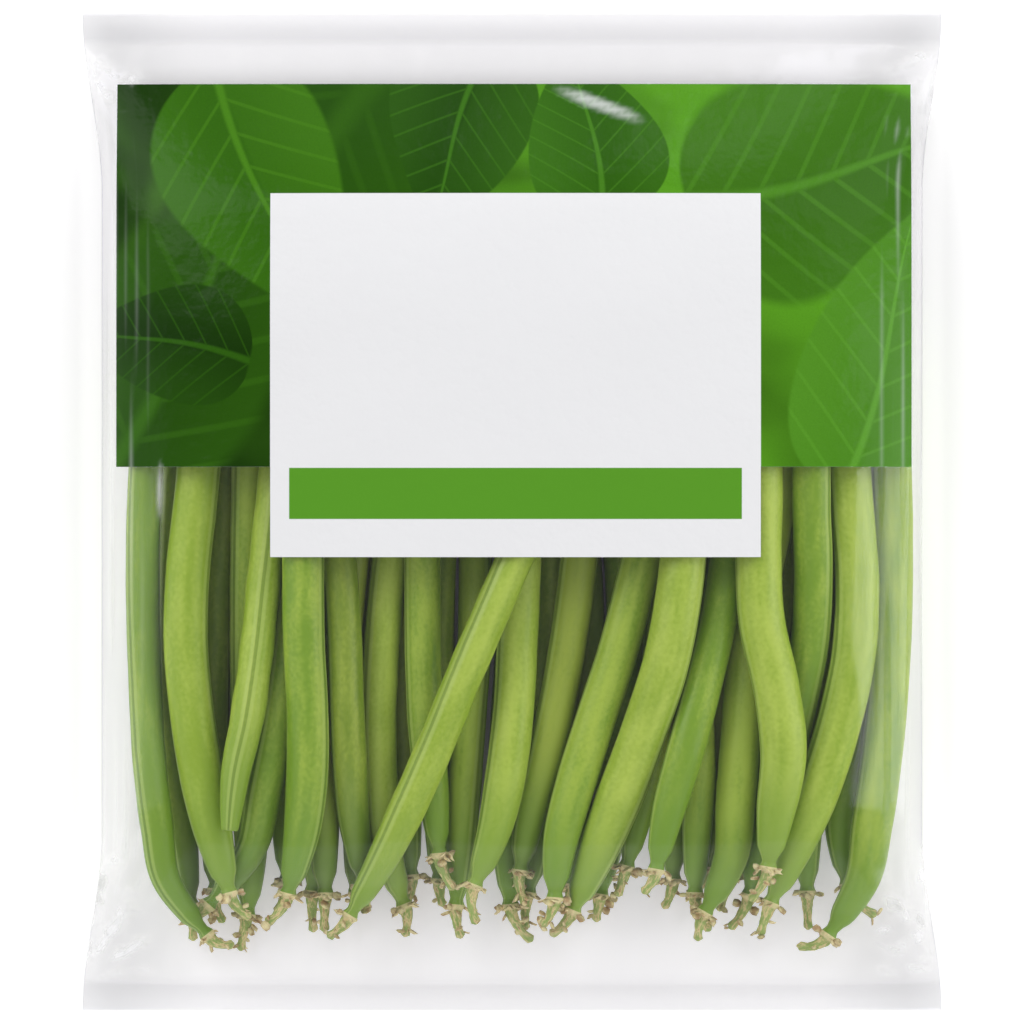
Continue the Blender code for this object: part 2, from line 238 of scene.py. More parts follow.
# %% Floor
def new_material(name):
    """A material, its tree and its shader."""
    made = bpy.data.materials.new(name)
    made.use_nodes = True
    shader = made.node_tree.nodes["Principled BSDF"]
    return made, made.node_tree, shader


def plug_in(tree, shader, inputs):
    """Sets the shader's inputs, each to a constant or to a Wire."""
    for title, value in inputs.items():
        if isinstance(value, Wire):
            tree.links.new(value.socket, shader.inputs[title])
        else:
            shader.inputs[title].default_value = value


FLOOR_SPAN = 8000.0
FLOOR_DROP = 0.2  # below the table's height, so that floor and film don't flicker
PAPER_WHITE = (0.95, 0.95, 0.95, 1)
GLOW = 0.36  # strength of the glow beyond the pile
GLOW_COLOUR = (1, 0.97, 1, 1)
PILE = (76.0, -64.0, 88.0)  # half width, low and high end of the pile, where it stops
BAG = (86.0, 100.0)  # half width and half length of the bag, past which it is weaker
PAST_BAG = 0.3  # share of the glow that is missing there
AT_CORNERS = 0.55  # and at the bag's corners
half = FLOOR_SPAN / 2
corners = [(-half, -half, 0), (half, -half, 0), (half, half, 0), (-half, half, 0)]
floor = placed("floor", new_mesh("floor", corners, [(0, 1, 2, 3)]))
floor.location.z = -FLOOR_DROP * MM
paper, tree, shader = new_material("white_paper")
x, y, _ = place_in(tree).vector("SCALE", 1 / MM).parts()
beside = (abs(x) - PILE[0]).math("MAXIMUM", PILE[1] - y).math("MAXIMUM", y - PILE[2])
off_pile = beside.ramp(-6.0, 2.0)
off_bag = (abs(x) - BAG[0]).math("MAXIMUM", abs(y) - BAG[1]).ramp(-1.0, 2.0)
at_corner = abs(x).ramp(58, 84) * abs(y).ramp(64, 92)
dimmed = (off_bag * PAST_BAG).math("MAXIMUM", at_corner * AT_CORNERS)
level = off_pile * (1.0 - dimmed) * y.ramp(-90, -60, 1.0, 0.84)
glow = level.mix((0, 0, 0, 1), GLOW_COLOUR)
plug_in(tree, shader, {"Base Color": PAPER_WHITE, "Roughness": 0.55, "Specular IOR Level": 0.2})
plug_in(tree, shader, {"Emission Color": glow, "Emission Strength": GLOW})
floor.data.materials.append(paper)
floor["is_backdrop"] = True
print("floor", FLOOR_SPAN, "mm wide, glow", GLOW)

# %% [markdown]
# A packshot has a large soft light on each side above the object and low soft boxes beside it,
# which the film shows only along its shoulders. The sky is therefore dim right above, where
# the flat front of the bag looks, and bright near the horizon.

# %% Sky
world = bpy.data.worlds.new("soft_sky")
bpy.context.scene.world = world
world.use_nodes = True
sky = world.node_tree
up = add_node(sky, "ShaderNodeTexCoord").parts()[2]
level = up.ramp(0.25, 0.85, 0.85, 0.5)
plug_in(sky, sky.nodes["Background"], {"Color": (1, 1, 1, 1), "Strength": level})
print(len(sky.nodes), "nodes in the sky")

# %% Soft boxes
SOFT_BOXES = [  # name, azimuth and lean from straight above in degrees, metres away, size, watts
    ("key_upper_left", 140, 52, 1.5, (0.9, 0.9), 7.6),
    ("fill_upper_right", 40, 54, 1.5, (0.9, 0.9), 4.4),
    ("strip_left", 180, 78, 1.2, (0.3, 1.2), 0.8),
    ("strip_right", 0, 75, 1.2, (0.3, 1.2), 3.4),
    ("spark_top", 78, 66, 1.2, (0.25, 0.25), 0.5),
    ("fill_front", 270, 50, 1.6, (2.4, 1.2), 5.0),
]


def soft_box(name, azimuth, lean, distance, size, power):
    """A square or oblong light that looks at the bag."""
    light = bpy.data.lights.new(name, "AREA")
    light.shape = "RECTANGLE"
    light.size, light.size_y = size
    light.energy = power
    made = placed(name, light)
    turn, tilt = math.radians(azimuth), math.radians(lean)
    aside = distance * math.sin(tilt)
    made.location = (aside * math.cos(turn), aside * math.sin(turn), distance * math.cos(tilt))
    made.rotation_euler = (-made.location).to_track_quat("-Z", "Y").to_euler()


for box in SOFT_BOXES:
    soft_box(*box)
print(len(SOFT_BOXES), "lights")

# %% [markdown]
# A green bean is a long pod, slightly oval, with a seam down each narrow edge and faint
# swellings where the seeds sit. At the stalk end it narrows to a neck, then comes a dry collar,
# all that is left of the flower, and a short stalk with a knob where it left the plant.
# Each solid is a tube of eight-sided rings. Its rings are found by walking over a merged copy
# of its mesh from the tip, and their centres give the path that the fine skin follows.

# %% Read the path of a bean from its solid
RING = 8  # points in a ring of the solid


def merged_copy(mesh):
    """The solid's points with doubles merged, and the neighbours of each."""
    points = np.array([tuple(v.co) for v in mesh.vertices]) / MM
    keys, inverse = np.unique(np.round(points, 3), axis=0, return_inverse=True)
    inverse = inverse.reshape(-1)
    near = [set() for _ in keys]
    for edge in mesh.edges:
        a, b = inverse[edge.vertices[0]], inverse[edge.vertices[1]]
        if a != b:
            near[a].add(b)
            near[b].add(a)
    return keys, near


def rings_of(mesh):
    """Centres and radii of the solid's rings, from the free end of the stalk to the tip."""
    points, near = merged_copy(mesh)
    tip = points[points[:, 1].argmax()]
    ring = set(np.argsort(((points - tip) ** 2).sum(1))[:RING].tolist())
    seen, rings = set(ring), [ring]
    while True:
        ring = {b for a in ring for b in near[a]} - seen
        if not ring:
            break
        seen |= ring
        rings.append(ring)
    rims = [points[sorted(ring)] for ring in rings[::-1]]
    assert all(len(rim) == RING for rim in rims), [len(rim) for rim in rims]
    centres = np.array([rim.mean(0) for rim in rims])
    radii = np.array([np.linalg.norm(rim - rim.mean(0), axis=1).mean() for rim in rims])
    return centres, radii


paths = {name: rings_of(frame["nodes"][name].data) for name in BEANS}
print("rings on each bean:", sorted({len(radii) for _, radii in paths.values()}))

# %% [markdown]
# The few rings are joined by a smooth line through their centres. It is sampled closely where
# the shape changes fast, at the stalk, the neck and the tip, and further apart on the pod.
# A bean whose stalk has snapped off has no stalk rings, only a blunt neck.

# %% Sample a bean's path
POD_RINGS = 12  # rings from the neck to the tip, in every solid
SKIN_SHARE = 0.995  # the skin stays just inside its solid, so that neighbours stay apart
STALK_SLIMNESS = ((-3.0, -1.4, -0.6, 0.4), (0.86, 0.84, 0.74, 1.0))  # mm from the neck, share
BEFORE_NECK, AFTER_NECK = 1.5, 1.2  # mm of the collar, which has the closest rings
THROAT = 24.0  # mm past the neck, over which the pod widens
BEAK = 20.0  # mm before the tip, over which it narrows
TIP = 2.0  # mm of the beak that round off
STALK_STEP, COLLAR_STEP, END_STEP, POD_STEP = 0.55, 0.3, 1.3, 2.6  # mm between rings
STALK_ROUND = 0.7  # mm of the stalk's free end that round off
LEAST_RADIUS = 0.2


def smooth_line(marks, knots, values):
    """Values at marks on a smooth line through the knots."""
    slopes = np.gradient(values, knots, axis=0)
    k = np.clip(np.searchsorted(knots, marks) - 1, 0, len(knots) - 2)
    span = (knots[k + 1] - knots[k])[:, None]
    t = ((marks - knots[k]) / span.T[0])[:, None]
    return (
        values[k] * (1 + 2 * t) * (1 - t) ** 2
        + slopes[k] * span * t * (1 - t) ** 2
        + values[k + 1] * t * t * (3 - 2 * t)
        + slopes[k + 1] * span * t * t * (t - 1)
    )


def sampled(centres, radii):
    """Points, radii and the distance from the neck, which is below 0 on the stalk."""
    steps = np.linalg.norm(np.diff(centres, axis=0), axis=1)
    knots = np.append(0.0, np.cumsum(steps))
    neck = knots[len(radii) - POD_RINGS]
    end = knots[-1]
    stretches = (
        np.arange(0, neck - BEFORE_NECK, STALK_STEP),
        np.arange(max(neck - BEFORE_NECK, 0), neck + AFTER_NECK, COLLAR_STEP),
        np.arange(neck + AFTER_NECK, neck + THROAT, END_STEP),
        np.arange(neck + THROAT, end - BEAK, POD_STEP),
        np.arange(end - BEAK, end - TIP, END_STEP),
        np.linspace(end - TIP, end, 5),
    )
    marks = np.unique(np.round(np.concatenate(stretches), 4))
    places = smooth_line(marks, knots, centres)
    sizes = smooth_line(marks, knots, radii[:, None])[:, 0]
    sizes = np.where(marks < neck + 0.05, np.interp(marks, knots, radii), sizes)
    sizes = sizes * np.interp(marks - neck, *STALK_SLIMNESS)
    cut = np.clip(marks / STALK_ROUND, 0, 1) if neck > 0 else np.ones(len(marks))
    sizes = sizes * np.sqrt(np.clip(1 - (1 - cut) ** 2, 0.05, 1))
    return places, np.maximum(sizes, LEAST_RADIUS) * SKIN_SHARE, marks - neck


sample = sampled(*paths[BEANS[0]])
print(len(sample[1]), "rings on the first bean's skin, stalk", round(-sample[2][0], 1), "mm")

# %% [markdown]
# Geometry Nodes sweep the skin along the path, because all forty pods follow one rule and
# differ only in a few numbers. A tree needs named inputs for those numbers. Attributes carry
# from the path what the shape and the colours need, such as how far a point is from the neck
# and how dry it is there. When a tree has run, its result takes the place of the mesh.

# %% Tools for geometry trees
SOCKETS = {int: "NodeSocketInt", float: "NodeSocketFloat", type(None): "NodeSocketMaterial"}


def new_geometry_tree(name, sizes):
    """A geometry tree with named inputs, and a Wire for each input."""
    tree = bpy.data.node_groups.new(name, "GeometryNodeTree")
    tree.interface.new_socket("Geometry", in_out="INPUT", socket_type="NodeSocketGeometry")
    for title, value in sizes.items():
        made = tree.interface.new_socket(title, in_out="INPUT", socket_type=SOCKETS[type(value)])
        if value is not None:
            made.default_value = value
    tree.interface.new_socket("Geometry", in_out="OUTPUT", socket_type="NodeSocketGeometry")
    source = tree.nodes.new("NodeGroupInput")
    wires = [Wire(tree, socket) for socket in source.outputs if socket.name]
    return tree, wires[0], dict(zip(sizes, wires[1:]))


def stored(shape, name, value, kind="FLOAT"):
    """The shape with a named attribute on its points."""
    mark = {"Name": name, "Value": value}
    return shape.node("GeometryNodeStoreNamedAttribute", shape, named=mark, data_type=kind)


def kept(tree, name, kind="FLOAT"):
    """A named attribute of whatever shape reads it."""
    return add_node(tree, "GeometryNodeInputNamedAttribute", name, data_type=kind)


def set_marks(mesh, marks):
    """Gives each of the mesh's points its value of each named mark."""
    for title, values in marks.items():
        attribute = mesh.attributes.new(title, "FLOAT", "POINT")
        attribute.data.foreach_set("value", np.ravel(values))


def bake(piece):
    """Puts the evaluated mesh in the place of the piece's own and removes its modifiers."""
    bpy.context.view_layer.update()
    finished = piece.evaluated_get(bpy.context.evaluated_depsgraph_get())
    mesh = bpy.data.meshes.new_from_object(finished)
    piece.modifiers.clear()
    piece.data = mesh


def run_tree(piece, tree, **sizes):
    """Runs the tree on the piece with its inputs set to the sizes."""
    modifier = piece.modifiers.new(tree.name, "NODES")
    modifier.node_group = tree
    sockets = {s.name: s.identifier for s in tree.interface.items_tree if s.in_out == "INPUT"}
    for title, value in sizes.items():
        modifier[sockets[title]] = value
    bake(piece)


print("attributes on the finished skins: side, along, dry, shade and scale")

# %% [markdown]
# The collar is ragged: short dry scales stand out of it, the remains of the flower's cup.
# One scale is a small blunt, cupped blade. It is made once and the tree sets a few on the
# ring of points round each collar, turned and sized at random from a fixed seed.

# %% One dry scale
CUPPED = 0.3  # how far a scale's edges stand up, as a share of its half width
STATIONS = [  # height, half width, half thickness and curl along the blade, in mm
    (0.0, 0.34, 0.14, 0.0),
    (0.35, 0.52, 0.12, 0.06),
    (0.78, 0.42, 0.1, 0.26),
]
BLADE_TIP = (0.06, 0.34, 0.86)


def dry_scale():
    """A blunt cupped blade 1 mm long and as wide, closed all round, that grows along +Z."""
    points = [BLADE_TIP]
    faces = []
    for height, half_wide, half_thick, curl in STATIONS:
        edge = curl + CUPPED * half_wide
        points += [(-half_wide, edge, height), (0, curl - half_thick, height)]
        points += [(half_wide, edge, height), (0, curl + half_thick, height)]
    for row in range(2):
        for k in range(4):
            low, after = 1 + row * 4, (k + 1) % 4
            faces.append((low + k, low + after, low + 4 + after, low + 4 + k))
    faces += [(9 + k, 9 + (k + 1) % 4, 0) for k in range(4)] + [(4, 3, 2, 1)]
    mesh = new_mesh("dry_scale", points, faces)
    mesh.shade_smooth()
    return placed("dry_scale", mesh)


scale = dry_scale()
print(len(scale.data.polygons), "faces in a dry scale")

# %% [markdown]
# The sweep carries a circle of 1 mm along the path, and each of its points is then set at the
# pod's own thickness: a little thinner across its flat sides, swollen over each seed, raised
# along both seams, and uneven. On the dry stalk the same points are roughened instead.

# %% Sweep a pod
AROUND = 22  # points round a pod
SEED_SALT = 7.3  # moves each bean to its own part of the noise


def pod_skin(tree, path, size):
    """The skin of a bean, and the direction from its middle line to each of its points."""
    here = add_node(tree, "GeometryNodeInputPosition")
    line = path.node("GeometryNodeMeshToCurve", path)
    line = line.node("GeometryNodeSetCurveNormal", line, mode="Z_UP")
    line = line.node("GeometryNodeSetCurveTilt", line, named={"Tilt": kept(tree, "turn")})
    line = stored(line, "centre", here, "FLOAT_VECTOR")
    line = stored(line, "heading", add_node(tree, "GeometryNodeInputTangent"), "FLOAT_VECTOR")
    ring = {"Resolution": size["Around"], "Radius": MM}
    circle = add_node(tree, "GeometryNodeCurvePrimitiveCircle", named=ring)
    circle = stored(circle, "side", here.vector("SCALE", 1 / MM), "FLOAT_VECTOR")
    skin = line.node("GeometryNodeCurveToMesh", line, circle, named={"Fill Caps": True})

    centre = kept(tree, "centre", "FLOAT_VECTOR")
    outward = here.vector("SUBTRACT", centre)
    across, flat, _ = kept(tree, "side", "FLOAT_VECTOR").parts()
    along = kept(tree, "along")
    dry = kept(tree, "dry")
    fresh = 1.0 - dry
    salt = size["Seed"] * SEED_SALT
    seeds = (along * math.pi / size["Seed pitch"] + size["Seed"]).math("SINE")
    seeds = seeds * seeds * size["Seed swelling"] * along.ramp(12, 26)
    lumps = joined(across * 0.8, flat * 0.8, along * 0.09 + salt).noise(1.0, detail=1.0) - 0.5
    rough = joined(across * 1.6, flat * 1.6, along * 0.9 + salt).noise(1.0, detail=2.0) - 0.5
    girth = 1.0 - flat * flat * (size["Flatness"] - seeds) * fresh
    girth = girth + lumps * size["Unevenness"] * fresh + rough * dry * size["Stalk roughness"]
    girth = girth + abs(across).ramp(0.96, 1.0) * fresh * size["Seam ridge"]
    reach = outward.vector("SCALE", girth * kept(tree, "thickness"))
    place = centre.vector("ADD", reach)
    skin = skin.node("GeometryNodeSetPosition", skin, named={"Position": place})
    return stored(skin, "scale", 0.0), outward


print(AROUND, "points round a pod")

# %% [markdown]
# A random number picks the points that carry a scale: most of those on the collar's ring and a
# few on the stalk. Each scale grows outwards and towards the free end, with its hollow side
# turned to the stalk.

# %% Set the dry scales
COLLAR_SCALES = 9  # dry scales round the collar of each bean
STALK_SCALES = 0.3  # on each ring of its stalk
SCALE_SIZES = (0.6, 1.6)  # least and most, as shares of the scale length
SCATTER = 0.8  # how far a scale's direction may stray on each axis
STALKWARD = 0.75  # how much it leans towards the free end


def drawn(tree, seed, low, high, kind="FLOAT"):
    """A random value for each point."""
    sizes = {"Min": low, "Max": high, "Seed": seed}
    return add_node(tree, "FunctionNodeRandomValue", named=sizes, data_type=kind)


def scales_on(tree, skin, outward, size, scale_object):
    """Dry scales on the skin's points, as many as its husk attribute asks for."""
    chosen = kept(tree, "husk").math("GREATER_THAN", drawn(tree, size["Seed"], 0.0, 1.0))
    jitter = drawn(tree, size["Seed"], (-SCATTER,) * 3, (SCATTER,) * 3, "FLOAT_VECTOR")
    stalkward = kept(tree, "heading", "FLOAT_VECTOR").vector("SCALE", -STALKWARD)
    away = outward.vector("NORMALIZE")
    growing = away.vector("ADD", stalkward).vector("ADD", jitter)
    turned = growing.node("FunctionNodeAlignRotationToVector", named={"Vector": growing}, axis="Z")
    hollow = {"Rotation": turned, "Vector": away}
    turned = turned.node("FunctionNodeAlignRotationToVector", named=hollow, axis="Y", pivot_axis="Z")
    spread = drawn(tree, size["Seed"] + 5, *SCALE_SIZES)
    blade = add_node(tree, "GeometryNodeObjectInfo", named={"Object": scale_object}, out=4)
    sizes = {
        "Selection": chosen,
        "Instance": stored(stored(blade, "scale", 1.0), "dry", 1.0),
        "Rotation": turned,
        "Scale": spread * size["Scale length"],
    }
    return skin.node("GeometryNodeInstanceOnPoints", skin, named=sizes)


print("about", COLLAR_SCALES, "scales round a collar")

# %% The tree of a bean
BEAN_SIZES = {
    "Around": AROUND,
    "Flatness": 0.09,
    "Seed pitch": 11.5,  # mm from seed to seed
    "Seed swelling": 0.05,
    "Unevenness": 0.03,
    "Stalk roughness": 0.55,
    "Seam ridge": 0.012,
    "Scale length": 1.4,  # mm, for a scale of size 1
    "Seed": 0,
    "Pod finish": None,
    "Stalk finish": None,
}


def bean_tree(scale_object):
    """The whole bean: its skin and scales as one mesh, with a finish for each."""
    tree, path, size = new_geometry_tree("bean", BEAN_SIZES)
    skin, outward = pod_skin(tree, path, size)
    blades = scales_on(tree, skin, outward, size, scale_object)
    whole = add_node(tree, "GeometryNodeJoinGeometry", skin)
    tree.links.new(blades.socket, whole.socket.node.inputs[0])
    whole = whole.node("GeometryNodeRealizeInstances", whole)
    whole = whole.node("GeometryNodeSetShadeSmooth", whole)
    whole = whole.node("GeometryNodeSetMaterial", whole, named={"Material": size["Pod finish"]})
    is_dry = kept(tree, "dry").math("GREATER_THAN", 0.5)
    on_dry = {"Selection": is_dry, "Material": size["Stalk finish"]}
    whole = whole.node("GeometryNodeSetMaterial", whole, named=on_dry)
    sink = tree.nodes.new("NodeGroupOutput")
    tree.links.new(whole.socket, sink.inputs[0])
    return tree


bean_nodes = bean_tree(scale)
print(len(bean_nodes.nodes), "nodes in the bean tree")

# %% [markdown]
# The pods are satiny and never one green. Streaks run lengthwise, the seam is a thin darker
# line with a pale rim, the neck is a fuller green, and there are small brown specks. One rule
# paints all of it from the attributes that the tree left on the skin, and three sets of inks
# give the three grades of bean. The deep grade lies lower in the pile, and its darker inks are
# partly the pods' own tone and partly painted shade. Collar, stalk and scales have a dry
# finish of their own.

# %% Bean finish
SPECK_CELLS = 0.2  # per mm
SHADE_SALT = 41.0  # moves each bean to its own part of the noise
SEAM_RIM = ink(186, 205, 120)
SEAM_LINE = ink(86, 114, 38)
SPECK = ink(96, 98, 40)


def mark_on(tree, name, out=2):
    """An attribute of the piece: out is 2 for a number and 1 for a vector."""
    return add_node(tree, "ShaderNodeAttribute", attribute_name=name, out=out)


def round_pod(tree):
    """Place round the pod and along it, and a number of its own for each bean."""
    across, flat, _ = mark_on(tree, "side", 1).vector("NORMALIZE").parts()
    return across, flat, mark_on(tree, "along"), mark_on(tree, "shade")


def bumped(height, strength, depth):
    """A height turned into a Normal."""
    sizes = {"Strength": strength, "Distance": depth, "Height": height}
    return height.node("ShaderNodeBump", named=sizes)


def pod_finish(name, pale, deep, neck):
    """A pod's material from its pale and deep inks and that of its neck."""
    material, tree, shader = new_material(name)
    across, flat, along, shade = round_pod(tree)
    salt = shade * SHADE_SALT
    streaks = joined(across * 1.9, flat * 1.9, along * 0.03 + salt).noise(1.0, 1.0)
    clouds = joined(across * 1.1, flat * 1.1, along * 0.09 + salt).noise(1.0, 2.0)
    grain = joined(across * 5.0, flat * 5.0, along * 1.1 + salt).noise(1.0, 1.0)
    tone = (streaks - 0.5) * 0.8 + (clouds - 0.5) * 1.1 + (grain - 0.5) * 0.6
    tone = tone + shade * 0.32 + 0.55
    colour = tone.ramp(0.0, 1.0).mix(deep, pale)
    colour = along.ramp(3, 30, 0.85, 0.0).mix(colour, neck)
    seam = abs(across)
    line = seam.ramp(0.992, 0.998) * across.ramp(-1.0, 0.2, 0.75, 1.0)
    rim = seam.ramp(0.93, 0.975) * (1.0 - line)
    colour = (rim * 0.36).mix(colour, SEAM_RIM)
    colour = (line * 0.6).mix(colour, SEAM_LINE)
    spots = joined(across * 4.0, flat * 4.0, along + salt * 3.0)
    near = spots.node("ShaderNodeTexVoronoi", named={"Scale": SPECK_CELLS})
    speck = near.ramp(0.02, 0.06, 1.0, 0.0) * clouds.ramp(0.5, 0.62)
    colour = (speck * 0.75).mix(colour, SPECK)
    gloss = clouds.ramp(0.3, 0.7, 0.34, 0.46)
    plug_in(tree, shader, {"Base Color": colour, "Roughness": gloss, "Specular IOR Level": 0.38})
    return material


print("specks lie about", 1 / SPECK_CELLS, "mm apart")

# %% Dry finish
HUSK_PATCHES = 650.0  # per metre
FRESH_STALK = ink(146, 168, 90)
DRY_STALK = ink(216, 200, 146)
WITHERED = ink(160, 128, 88)
COLLAR = ink(230, 214, 166)
HUSK_PALE = ink(234, 220, 170)
HUSK_BROWN = ink(176, 142, 100)


def stalk_finish():
    """Stalk, collar and dry scales: olive where still fresh, tan and brown where dry."""
    material, tree, shader = new_material("dry_stalk")
    across, flat, along, shade = round_pod(tree)
    patches = joined(across * 1.6, flat * 1.6, along * 0.55 + shade * SHADE_SALT)
    patches = patches.noise(1.0, 3.0, 0.65)
    colour = patches.ramp(0.44, 0.6).mix(FRESH_STALK, DRY_STALK)
    colour = patches.ramp(0.6, 0.72).mix(colour, WITHERED)
    collar = along.ramp(-1.5, -0.9) * along.ramp(-0.1, 0.4, 1.0, 0.0)
    colour = (collar * 0.7).mix(colour, COLLAR)
    husk = place_in(tree).noise(HUSK_PATCHES).ramp(0.4, 0.68).mix(HUSK_PALE, HUSK_BROWN)
    colour = (mark_on(tree, "scale") * 0.9).mix(colour, husk)
    plug_in(tree, shader, {"Base Color": colour, "Roughness": 0.7, "Specular IOR Level": 0.3})
    return material


stalk_ink = stalk_finish()
finishes = {}
# grades from bright to deep: the deep grade's darker inks are partly painted shade of the lower pods
for grade, *inks in (
    ("bean_bright", (176, 197, 80), (138, 167, 42), (122, 155, 46)),
    ("bean_mid", (164, 187, 68), (116, 152, 34), (108, 146, 38)),
    ("bean_deep", (152, 170, 60), (112, 138, 32), (98, 132, 34)),
):
    finishes[grade] = pod_finish(grade, *(ink(*levels) for levels in inks))
print({name: len(m.node_tree.nodes) for name, m in finishes.items()})

# %% [markdown]
# Each bean now gets its own path, its own turn about its length and its own seed. The turn
# says where its seams face. Most lie towards the sides, as pods rest on their flat faces, but
# on three pods a seam is turned up and plain to see.

# %% Skin the beans
slots = {part["node"]: part["material_slot"] for part in frame["record"]["subparts"]}
SEAM_UP = {"green_bean_30": 90.0, "green_bean_40": 52.0, "green_bean_28": 160.0}  # degrees of turn
SEAM_LEAN = (14.0, 44.0)  # least and most degrees by which the other seams lean from the side
TWIST = 25.0  # most degrees by which a pod is twisted from end to end
FIRST_SEED = 900
SHADES = {"green_bean_26": -1.3, "green_bean_29": -0.6, "green_bean_24": 1.0}  # deep to pale


def bean_skin(name, dice):
    """A bean's fine skin, which stands for its solid."""
    centres, sizes, along = sampled(*paths[name])
    share = dice.uniform(-1, 1)
    lean = math.copysign(np.interp(abs(share), (0, 1), SEAM_LEAN), share) + dice.choice((0, 180))
    twist = dice.uniform(-TWIST, TWIST)
    turn = np.radians(SEAM_UP.get(name, lean) + twist * (along / along[-1] - 0.4))
    mesh = new_mesh(name, centres, [], [(k, k + 1) for k in range(len(centres) - 1)])
    has_stalk = along[0] < -1
    at_collar = has_stalk & (np.abs(along + 0.5) == np.abs(along + 0.5).min())
    husk = np.where(at_collar, COLLAR_SCALES, (along < -0.9) * has_stalk * STALK_SCALES) / AROUND
    marks = {
        "thickness": sizes,
        "along": along,
        "dry": np.clip((0.35 - along) / 0.6, 0, 1) * has_stalk,
        "husk": husk,
        "turn": turn,
        "shade": np.full(len(along), SHADES.get(name, dice.uniform(-1, 1))),
    }
    set_marks(mesh, marks)
    piece = placed(name.replace("green_bean", "bean_skin"), mesh)
    finish = {"Pod finish": finishes[slots[name]], "Stalk finish": stalk_ink}
    run_tree(piece, bean_nodes, Seed=dice.randrange(1000), **finish)
    for title in ("centre", "heading", "thickness", "husk", "turn"):
        piece.data.attributes.remove(piece.data.attributes[title])
    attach(piece, "root")
    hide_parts(name)
    return piece


skins = [bean_skin(name, random.Random(FIRST_SEED + number)) for number, name in enumerate(BEANS)]
bpy.data.objects.remove(scale)
print(sum(len(s.data.polygons) for s in skins), "faces on", len(skins), "beans")

# %% [markdown]
# The bag is a tube of film, sealed flat across both ends. Filled, its front bulges like a
# pillow, its back lies flat on the table and its waist draws in. Such a shape follows a rule:
# at each place along the bag there is a half width, a height of the side folds, a rise of the
# front and a drop of the back. The solid has the same rule, with thicker walls and seals, so
# u, the place across the bag, runs from -1 at one side fold to 1 at the other in both.

# %% The rule of the film's shape
BAG_LENGTH = round((cad_high[1] - cad_low[1]) / MM, 1)
SEAL_SPAN = round((cad_high[0] - cad_low[0]) / MM, 1)  # across a flat seal
WAIST_SPAN = 164.6  # across the filled middle
SEAL_DEPTH = 5.6  # of each seal, along the bag
SEAL_HALF = 0.25  # half its thickness
FLARE = 36.0  # length over which the waist widens to a seal
SIDE_HEIGHT = 9.0  # of the side folds above the table, at the waist
SEAL_HEIGHT = 3.4  # of the seals
CROWN = 20.4  # of the front above the side folds
CROWN_POWER = 2.8  # the front's section is (1 - u^CROWN_POWER)^CROWN_ROUND
CROWN_ROUND = 0.55
RISE_POWER = 0.8  # below 1, the front leaves the seals more steeply
STALK_END_RUN = 30.0  # length over which the front rises from the seal at the stalk ends
TIP_END_RUN = 58.0  # the same at the emptier end
BACK_RUN = 15.0  # length over which the back comes down to the table
FLAT_SHARE = 0.78  # share of the half width over which the back lies flat
DISH_POWER = 2.2  # how suddenly it turns up past that


def smooth(share):
    """0 up to 0, 1 from 1 onwards, with a smooth change between."""
    share = np.clip(share, 0.0, 1.0)
    return share * share * (3 - 2 * share)


def rise(distance, run):
    """A quarter of a sine wave, from 0 to 1 over the run."""
    return np.sin(np.clip(distance / run, 0, 1) * math.pi / 2)


def from_seal(y):
    """Distance from the nearer seal, below 0 on it."""
    return BAG_LENGTH / 2 - SEAL_DEPTH - np.abs(y)


def half_width(y):
    return (SEAL_SPAN + (WAIST_SPAN - SEAL_SPAN) * smooth((BAG_LENGTH / 2 - np.abs(y)) / FLARE)) / 2


def fold_height(y):
    return SEAL_HEIGHT + (SIDE_HEIGHT - SEAL_HEIGHT) * smooth(from_seal(y) / FLARE)


def front_height(u, y):
    run = np.where(y < 0, STALK_END_RUN, TIP_END_RUN)
    lift = SEAL_HALF + CROWN * rise(from_seal(y), run) ** RISE_POWER
    return fold_height(y) + lift * np.clip(1 - np.abs(u) ** CROWN_POWER, 0, 1) ** CROWN_ROUND


def back_height(u, y):
    drop = SEAL_HALF + (fold_height(y) - SEAL_HALF) * rise(from_seal(y), BACK_RUN)
    past = np.clip((np.abs(u) - FLAT_SHARE) / (1 - FLAT_SHARE), 0, 1)
    return fold_height(y) - drop * np.sqrt(np.clip(1 - past**DISH_POWER, 0, 1))


print("front at the middle", round(float(front_height(0.0, np.array(0.0))), 1), "mm up")

# %% [markdown]
# With the film's rule at hand, the few dry scales whose tips would stick out of the bag are
# folded back inside it, as the film does with the real ones.

# %% Tuck stray tips in
CLEARANCE = 0.2  # mm between a tip and the outside of the film


def tuck_in(piece):
    """Moves the points that are outside the film to its inside, and counts them."""
    flat = np.zeros(len(piece.data.vertices) * 3)
    piece.data.vertices.foreach_get("co", flat)
    x, y, z = flat.reshape(-1, 3).T / MM
    reach = half_width(y) - 2 * CLEARANCE
    held_x = np.clip(x, -reach, reach)
    u = held_x / half_width(y)
    held_z = np.clip(z, back_height(u, y) + CLEARANCE, front_height(u, y) - CLEARANCE)
    moved = (held_x != x) | (held_z != z)
    piece.data.vertices.foreach_set("co", np.stack([held_x, y, held_z], 1).reshape(-1) * MM)
    return int(moved.sum())


print("points tucked in:", {s.name[-2:]: n for s in skins if (n := tuck_in(s))})
